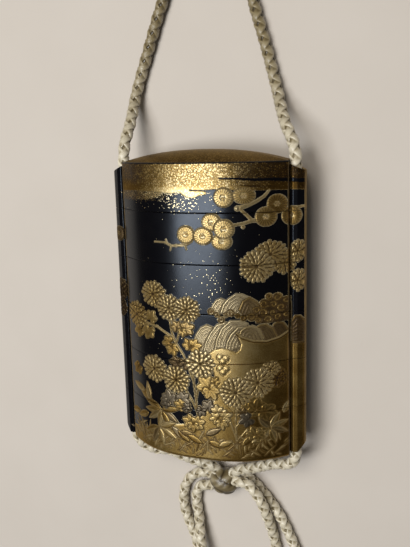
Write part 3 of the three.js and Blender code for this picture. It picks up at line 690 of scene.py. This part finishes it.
LEFT_LOOP = [
    (-5.2, -19.2, FLAT), (-9.1, -19.4, FLAT), (-12.4, -21.4, FLAT), (-14.4, -24.6, FLAT),
    (-15.3, -28.4, FLAT), (-15.2, -32.4, FLAT), (-14.2, -36.4, FLAT), (-12.8, -40.2, FLAT),
    (-11.2, -44.6, FLAT), (-10.8, -49, FLAT), (-12.8, -54.4, FLAT), (-15.2, -60, FLAT), (-15, -66.2, FLAT),
    (-10.8, -70.6, FLAT), (-5, -70.4, FLAT), (-1, -66, FLAT), (-1, -60.2, FLAT), (-3.6, -54.8, -10),
    (-6.4, -49.8, -8.4), (-7.9, -45.6, -7.7), (-8.7, -41.6, -8.5), (-9.3, -38, -9.6), (-9.9, -34.6, -10.5),
    (-10.5, -31.2, FLAT), (-10.6, -28.2, FLAT), (-9.9, -25.6, FLAT), (-8.2, -23.8, -10.6),
    (-5.6, -23.2, -9.9),
]
RIGHT_LOOP = [
    (6, -18.9, -7.2), (8.4, -19.1, -7.1), (10.7, -20.9, -6.9), (12.5, -23.4, -6.9), (13.9, -26.2, -7.1),
    (14.8, -29.3, -7.7), (15.5, -32.8, -8.9), (16.1, -36.4, -10.1), (16.7, -39.8, FLAT), (17.4, -43.6, FLAT),
    (17.4, -48.4, FLAT), (15.4, -54.2, FLAT), (13.4, -60.2, FLAT), (14.8, -66.2, FLAT), (19.6, -69.6, FLAT),
    (25.2, -68, FLAT), (27.6, -62, FLAT), (27.4, -55, FLAT), (26.2, -48.6, FLAT), (24.2, -43.2, FLAT),
    (21.9, -37.8, FLAT), (19.1, -31.9, FLAT), (15.7, -26.8, FLAT), (12.6, -23.1, FLAT), (9.2, -19.7, FLAT),
    (5.6, -17.6, FLAT),
]
# Where each cord's ends run on into the knot.
INTO_KNOT = {
    "cord": ((1.0, -19.2, -9.9), (-0.8, -18.8, -9.9)),
    "bow_loop_left": ((-1.6, -19.9, -10.2), (-1.4, -21, -9.8)),
    "bow_loop_right": ((1.8, -20, -9.6), (1.6, -19.6, -10.2)),
}

# The braid's strands: half thickness, half width, distance from the middle and its swing.
STRAND_THICK, STRAND_WIDE, STRAND_OUT, STRAND_SWING = 0.76, 1.34, 0.82, 0.22
CORE_RADIUS = 1.12
FULL_DEPTH = 1.82  # the stored depth is 1 this far out
KNOT_AT, KNOT_HALF = (0.2, -20.3, -9.15), (5.0, 4.8, 3.6)


def curve_points(line, step):
    """Points a step apart on the centripetal Catmull-Rom curve through a line, as three.js has it."""
    p = np.array(line, float)
    p = np.concatenate([[2 * p[0] - p[1]], p, [2 * p[-1] - p[-2]]])
    found = []
    for a, b, c, d in zip(p, p[1:], p[2:], p[3:]):
        t0, t1, t2 = (max(np.linalg.norm(v - u), 1e-4) ** 0.5 for u, v in ((a, b), (b, c), (c, d)))
        m1 = (b - a) / t0 - (c - a) / (t0 + t1) + (c - b) / t1
        m2 = (c - b) / t1 - (d - b) / (t1 + t2) + (d - c) / t2
        s = np.linspace(0, 1, 40, endpoint=False)[:, None]
        m1, m2 = m1 * t1, m2 * t1
        found.append((2 * b - 2 * c + m1 + m2) * s**3 + (-3 * b + 3 * c - 2 * m1 - m2) * s**2 + m1 * s + b)
    points = np.concatenate([*found, [p[-2]]])
    along = np.concatenate([[0], np.cumsum(np.linalg.norm(np.diff(points, axis=0), axis=1))])
    at = np.linspace(0, along[-1], int(along[-1] / step) + 1)
    return np.stack([np.interp(at, along, points[:, k]) for k in range(3)], 1), along[-1]


def store_strands(mesh, values):
    """Stores the place along a strand, across it and out from the cord's middle, for the silk, which gets
    painted shade where that last value is low.
    """
    store(mesh, "strand", "FLOAT_VECTOR", "vector", values)
    mesh.polygons.foreach_set("use_smooth", [True] * len(mesh.polygons))


def braid(name, line, pitch=8.4):
    """A round braid along a line: two strands turn one way, two the other, round a core."""
    first, last = INTO_KNOT[name]
    centre, length = curve_points([first, *line, last], 0.42)
    tangent = np.gradient(centre, axis=0)
    tangent /= np.linalg.norm(tangent, axis=1)[:, None]
    side = np.zeros_like(centre)
    side[0] = np.cross(tangent[0], [0, 0, 1.0])
    side[0] /= np.linalg.norm(side[0])
    for i in range(1, len(centre)):
        v = side[i - 1] - tangent[i] * (side[i - 1] @ tangent[i])
        side[i] = v / np.linalg.norm(v)
    up = np.cross(side, tangent)
    s = np.linspace(0, length, len(centre))
    sides = 10
    ring = 2 * np.pi * np.arange(sides) / sides
    points, faces, stored = [], [], []
    for way, k in ((1, 0), (1, 1), (-1, 0), (-1, 1), (0, 0)):
        turn = np.pi * k + way * 2 * np.pi * s / pitch
        away = (STRAND_OUT + way * STRAND_SWING * np.cos(4 * np.pi * s / pitch)) * abs(way)
        thick, wide = (STRAND_THICK, STRAND_WIDE) if way else (CORE_RADIUS, CORE_RADIUS)
        radial = side * np.cos(turn)[:, None] + up * np.sin(turn)[:, None]
        middle = centre + radial * away[:, None]
        lateral = np.cross(tangent, radial)
        base = len(points) * len(s) * sides
        shell = (
            middle[:, None]
            + radial[:, None] * (thick * np.cos(ring))[None, :, None]
            + lateral[:, None] * (wide * np.sin(ring))[None, :, None]
        )
        points.append(shell.reshape(-1, 3))
        # The stored depth sets the silk's painted shade in the crevices. The core's is raised a little so
        # that it shows less dark in the gaps.
        depth_for_painted_shade = np.linalg.norm(shell - centre[:, None], axis=2) / FULL_DEPTH + (0 if way else 0.1)
        around = np.broadcast_to(np.sin(ring), depth_for_painted_shade.shape)
        run = np.broadcast_to((s + 2.1 * k + 5 * way)[:, None], depth_for_painted_shade.shape)
        stored.append(np.stack([run, around, depth_for_painted_shade], -1).reshape(-1, 3))
        i = np.arange(len(s) - 1)[:, None] * sides + base
        j = np.arange(sides)
        nxt = (j + 1) % sides
        faces += np.stack([i + j, i + nxt, i + sides + nxt, i + sides + j], -1).reshape(-1, 4).tolist()
        faces.append((base + j)[::-1].tolist())
        faces.append((base + (len(s) - 1) * sides + j).tolist())
    made = mesh_object(f"{name}_dressed", np.concatenate(points), faces)
    store_strands(made.data, np.concatenate(stored))
    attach(made, "root")
    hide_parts(name)
    return made, row(centre), length / 1000


def knot():
    """The tight ball of the bow's knot: turns of the cord wrapped over one another."""
    n, m = 88, 140
    v = np.linspace(0, math.pi, n + 2)[1:-1, None]
    u = np.linspace(0, 2 * math.pi, m, endpoint=False)[None, :]
    pole_axis = np.broadcast_to(np.cos(v), (n, m))
    d = np.stack([pole_axis, np.cos(u) * np.sin(v), np.sin(u) * np.sin(v)], -1)
    # The outer turn crosses the front from upper left to lower right; others pass under it.
    tilt = d @ np.array([0.36, 0.9, 0.25])
    other = d @ np.array([-0.83, 0.5, 0.25])
    outer = np.abs(tilt - 0.12) < 0.44
    lane = np.where(outer, (tilt - 0.12) / 0.44, (other - 0.1) / 0.42)
    lane = np.where(outer, lane, (lane + 1) % 2 - 1)
    hump = np.sqrt(unit(1 - lane**2))
    plait = np.cos(np.where(outer, other, tilt) * 15 + lane * 2.6) * (d[..., 1] > -0.2)
    r = 0.87 + 0.11 * hump + 0.008 * plait + 0.012 * outer
    shell = (d * r[..., None] * KNOT_HALF).reshape(-1, 3)
    poles = np.array([[4.6, 0, 0], [-4.6, 0, 0]])
    faces = []
    for a in range(n - 1):
        for b in range(m):
            c = (b + 1) % m
            faces.append([a * m + b, (a + 1) * m + b, (a + 1) * m + c, a * m + c])
    faces += [[n * m, b, (b + 1) % m] for b in range(m)]
    faces += [[n * m + 1, (n - 1) * m + (b + 1) % m, (n - 1) * m + b] for b in range(m)]
    made = mesh_object("knot_dressed", np.concatenate([shell, poles]) + KNOT_AT, faces)
    # Painted shade and light: the stored value is low in the grooves between turns and towards the lower
    # right, and high towards the upper left.
    depth_for_painted_shade = 0.42 + 0.27 * hump + 0.04 * plait - 0.05 * (d[..., 0] - d[..., 1])
    stored = np.stack([np.where(outer, other, tilt) * 5, lane, depth_for_painted_shade], -1).reshape(-1, 3)
    store_strands(made.data, np.concatenate([stored, np.ones((2, 3))]))
    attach(made, "root")
    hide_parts("knot")
    return made


# ---- materials ----


class Nodes:
    """Short names for building a material's nodes."""

    def __init__(self, name):
        self.material = bpy.data.materials.new(name)
        self.material.use_nodes = True
        self.tree = self.material.node_tree
        self.shader = self.tree.nodes["Principled BSDF"]

    def add(self, kind, settings=(), **inputs):
        node = self.tree.nodes.new("ShaderNode" + kind)
        for key, value in dict(settings).items():
            setattr(node, key, value)
        for key, value in inputs.items():
            self.put(node, key.replace("_", " "), value)
        return node

    def put(self, node, key, value):
        if isinstance(value, bpy.types.NodeSocket):
            self.tree.links.new(value, node.inputs[key])
        else:
            node.inputs[key].default_value = value

    def math(self, operation, a, b=0.0, c=0.0, clamp=False):
        node = self.add("Math", {"operation": operation, "use_clamp": clamp})
        for key, value in enumerate((a, b, c)):
            self.put(node, key, value)
        return node.outputs[0]

    def times(self, a, b):
        return self.math("MULTIPLY", a, b)

    def scaled(self, a, by, plus, clamp=False):
        return self.math("MULTIPLY_ADD", a, by, plus, clamp)

    def mix(self, factor, a, b):
        node = self.add("Mix", {"data_type": "RGBA"})
        for key, value in ((0, factor), (6, a), (7, b)):
            self.put(node, key, value)
        return node.outputs[2]

    def blend(self, factor, a, b):
        node = self.add("Mix", {"data_type": "FLOAT"})
        for key, value in ((0, factor), (2, a), (3, b)):
            self.put(node, key, value)
        return node.outputs[0]

    def ramp(self, value, *stops):
        node = self.add("ValToRGB", Fac=value)
        elements = node.color_ramp.elements
        elements[0].position, elements[-1].position = stops[0][0], stops[-1][0]
        for place, _ in stops[1:-1]:
            elements.new(place)
        for element, (_, colour) in zip(elements, stops):
            element.color = (*colour, 1)
        return node.outputs[0]

    def noise(self, scale, detail, vector):
        return self.add("TexNoise", Scale=scale, Detail=detail, Vector=vector).outputs[0]


def lacquer_material():
    n = Nodes("lacquer")
    place = n.add("TexCoord").outputs["Object"]
    stored = n.add("Attribute", {"attribute_name": "ornament"})
    split = n.add("SeparateColor", Color=stored.outputs["Color"])
    gold, tone, dust, line = *split.outputs, stored.outputs["Alpha"]
    grey = n.add("Attribute", {"attribute_name": "grey"}).outputs["Fac"]
    grain = n.noise(9000, 1, place)
    speck = n.noise(5200, 2, place)
    broad = n.noise(260, 3, place)
    # Flakes: one small disc in some of the cells, more of them where there is more dust.
    cells = n.add("TexVoronoi", {"voronoi_dimensions": "3D"}, Vector=place, Scale=2100, Randomness=1.0)
    cell = n.add("SeparateColor", Color=cells.outputs["Color"])
    chosen = n.math("LESS_THAN", cell.outputs[0], n.times(dust, 0.85))
    size = n.scaled(cell.outputs[1], 0.2, n.scaled(dust, 0.28, 0.04))
    flake = n.times(chosen, n.math("LESS_THAN", cells.outputs["Distance"], size))
    fine = n.math("LESS_THAN", grain, n.scaled(dust, 0.16, 0.33))
    fine = n.times(fine, n.math("GREATER_THAN", gold, 0.32))
    sprinkled = n.math("MAXIMUM", flake, n.times(fine, 0.8))
    level = n.scaled(dust, n.scaled(speck, 1.5, -0.25), 0.02)
    solid = n.math("GREATER_THAN", gold, level)
    kept = n.math("SUBTRACT", 1.0, n.times(line, 0.95))
    solid = n.times(solid, kept)
    metal = n.math("MAXIMUM", solid, n.times(sprinkled, kept), clamp=True)
    hue = n.math("ADD", tone, n.scaled(broad, 0.3, -0.15))
    hue = n.math("ADD", hue, n.scaled(speck, 0.6, -0.3))
    hue = n.math("ADD", hue, n.times(flake, 0.22), clamp=True)
    colour = n.ramp(
        hue,
        (0.0, (0.035, 0.015, 0.003)),
        (0.3, (0.17, 0.092, 0.018)),
        (0.5, (0.36, 0.235, 0.072)),
        (0.7, (0.56, 0.415, 0.185)),
        (1.0, (0.92, 0.78, 0.48)),
    )
    silver = n.ramp(hue, (0.1, (0.04, 0.029, 0.016)), (0.9, (0.36, 0.29, 0.19)))
    colour = n.mix(grey, colour, silver)
    black = n.mix(broad, (0.002, 0.002, 0.003, 1), (0.0035, 0.0032, 0.0036, 1))
    under = n.mix(n.times(line, gold), black, (0.014, 0.006, 0.002, 1))
    n.put(n.shader, "Base Color", n.mix(metal, under, colour))
    n.put(n.shader, "Metallic", n.times(metal, 0.92))
    rough_black = n.scaled(broad, 0.08, 0.21)
    rough_metal = n.scaled(grain, 0.2, 0.32)
    rough = n.blend(metal, rough_black, rough_metal)
    n.put(n.shader, "Roughness", n.blend(n.times(line, 0.8), rough, 0.6))
    speckled = n.times(speck, n.times(metal, 0.7))
    height = n.math("ADD", speckled, n.times(flake, 0.6))
    bump = n.add("Bump", Strength=0.45, Distance=0.00008, Height=height)
    n.put(n.shader, "Normal", bump.outputs[0])
    n.shader.inputs["Specular IOR Level"].default_value = 0.24
    n.put(n.shader, "Specular Tint", n.mix(metal, (0.76, 0.86, 1.0, 1), (0.96, 0.82, 0.58, 1)))
    return n.material


def silk_material():
    n = Nodes("silk_cord")
    place = n.add("TexCoord").outputs["Object"]
    stored = n.add("Attribute", {"attribute_name": "strand"})
    split = n.add("SeparateXYZ", Vector=stored.outputs["Vector"])
    run, around, depth_for_painted_shade = split.outputs
    stretched = n.add("CombineXYZ", X=n.times(run, 0.35), Y=n.times(around, 7.0))
    threads = n.noise(2.4, 3, stretched.outputs[0])
    soil = n.noise(180, 3, place)
    hue = n.math("ADD", n.times(threads, 0.6), n.times(soil, 0.4))
    # Painted shade: the silk is darker where the stored depth is low, in the crevices between strands and
    # inside the cord.
    painted_crevice_shade = n.math("SMOOTH_MIN", n.scaled(depth_for_painted_shade, 2.5, -1.35), 1.1, 0.2, clamp=True)
    # The cord is more soiled above the lid than below the base.
    high = n.add("SeparateXYZ", Vector=place)
    stain = n.scaled(high.outputs[1], 30.0, -1.3, clamp=True)
    hue = n.times(n.math("ADD", hue, 0.38), painted_crevice_shade)
    hue = n.math("SUBTRACT", hue, n.times(stain, 0.14))
    colour = n.ramp(
        hue,
        (0.0, (0.04, 0.026, 0.009)),
        (0.3, (0.15, 0.115, 0.055)),
        (0.6, (0.36, 0.305, 0.195)),
        (0.95, (0.68, 0.62, 0.48)),
    )
    tinted = n.mix(1.0, colour, (0.44, 0.39, 0.27, 1))
    tinted.node.blend_type = "MULTIPLY"
    n.put(n.shader, "Base Color", n.mix(n.times(stain, 0.9), colour, tinted))
    n.put(n.shader, "Roughness", n.scaled(threads, 0.2, 0.24))
    bump = n.add("Bump", Strength=0.5, Distance=0.0001, Height=threads)
    n.put(n.shader, "Normal", bump.outputs[0])
    n.shader.inputs["Specular IOR Level"].default_value = 0.9
    n.shader.inputs["Sheen Weight"].default_value = 0.12
    n.shader.inputs["Sheen Roughness"].default_value = 0.4
    return n.material


def floor_material():
    n = Nodes("floor")
    place = n.add("TexCoord").outputs["Object"]
    n.put(n.shader, "Base Color", n.mix(n.noise(40, 3, place), (0.5, 0.455, 0.4, 1), (0.54, 0.495, 0.44, 1)))
    n.put(n.shader, "Roughness", 0.9)
    return n.material


# ---- camera, floor and light ----


def camera():
    """The photograph's view; place, turn, lens and shift come from a fit to it."""
    data = bpy.data.cameras.new("camera")
    made = bpy.data.objects.new("camera", data)
    bpy.context.scene.collection.objects.link(made)
    pitch, yaw, roll = -11.677, 17.704, -1.203
    made.rotation_euler = [math.radians(turn) for turn in (pitch, yaw, roll)]
    made.location = row([65.96, 90.63, 183.76])
    data.sensor_width, data.lens, data.shift_x, data.clip_start = 36, 43.85, -0.0455, 0.01
    bpy.context.scene.camera = made


def lamp(name, place, target, size, energy, colour, glossy=True):
    data = bpy.data.lights.new(name, "AREA")
    data.shape, data.size, data.size_y = "RECTANGLE", *size
    data.energy, data.color = energy, colour
    made = bpy.data.objects.new(name, data)
    bpy.context.scene.collection.objects.link(made)
    made.location = place
    made.rotation_euler = (Vector(target) - Vector(place)).to_track_quat("-Z", "Y").to_euler()
    made.visible_glossy = glossy


def studio():
    bpy.ops.mesh.primitive_plane_add(size=6)
    floor = bpy.context.object
    floor.name = "floor"
    floor.data.materials.append(floor_material())
    world = bpy.data.worlds.new("studio")
    bpy.context.scene.world = world
    world.use_nodes = True
    shade = world.node_tree.nodes["Background"]
    shade.inputs[0].default_value = (1.0, 0.96, 0.91, 1)
    shade.inputs[1].default_value = 0.12
    world.cycles_visibility.glossy = False
    lamp("window", (-0.15, -0.025, 0.58), (0, 0.01, 0.02), (0.15, 0.3), 2.35, (0.95, 0.97, 1.0))
    lamp("fill", (-0.1, 0.4, 0.9), (0, 0, 0), (0.5, 0.5), 6.0, (1.0, 0.965, 0.92), glossy=False)


camera()
cord, cord_path, cord_length = braid("cord", [*RIGHT_RUN, *reversed(TOP_LOOP), *reversed(LEFT_RUN)])
left, left_path, left_length = braid("bow_loop_left", LEFT_LOOP)
right, right_path, right_length = braid("bow_loop_right", RIGHT_LOOP)
ball = knot()
silk = silk_material()
for piece in (cord, left, right, ball):
    piece.data.materials.clear()
    piece.data.materials.append(silk)

lacquer = lacquer_material()
for number in range(len(SEAMS) + 1):
    made = tier(number)
    made.data.materials.clear()
    made.data.materials.append(lacquer)

studio()
bpy.context.scene.view_settings.view_transform = "Standard"
